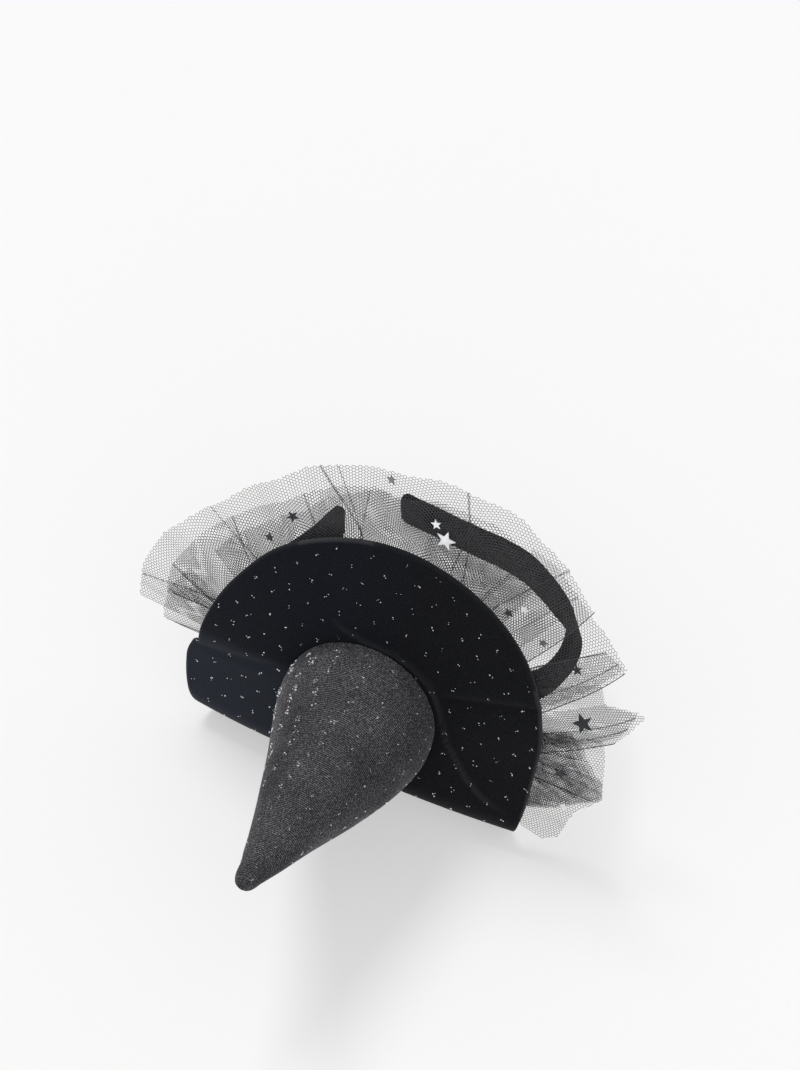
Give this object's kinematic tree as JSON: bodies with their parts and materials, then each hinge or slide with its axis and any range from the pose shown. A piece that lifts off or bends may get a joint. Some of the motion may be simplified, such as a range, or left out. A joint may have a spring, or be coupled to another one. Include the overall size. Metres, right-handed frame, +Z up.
{
  "type": "witch hat headband",
  "caption": "Small black witch hat with a pointed cone, a tilted brim and a gathered net ruffle with stars, on a covered hair band that holds it on the head.",
  "frame": {"origin": "middle of the whole object's footprint on the table, at table height", "axes": "+Z up from the table that it lies on, -Y the way the cone points, +X to the right as seen from the cone's tip side"},
  "size_m": [0.2072, 0.2274, 0.1454],
  "materials": {
    "velvet": "matte",
    "covered_band": "matte",
    "net": "matte",
    "foil": "satin"
  },
  "bodies": {
    "root": {"cone": "velvet", "brim": "velvet", "headband": "covered_band", "tulle_front": "net", "tulle_back": "net", "tulle_right": "net", "tulle_side": "net", "tulle_lower": "net", "star_1": "foil", "star_2": "foil", "star_3": "foil", "star_4": "foil", "star_5": "foil", "star_6": "foil", "star_7": "foil", "star_8": "foil", "star_9": "foil", "star_10": "foil", "star_11": "foil", "star_12": "foil", "star_13": "foil"}
  },
  "joints": []
}
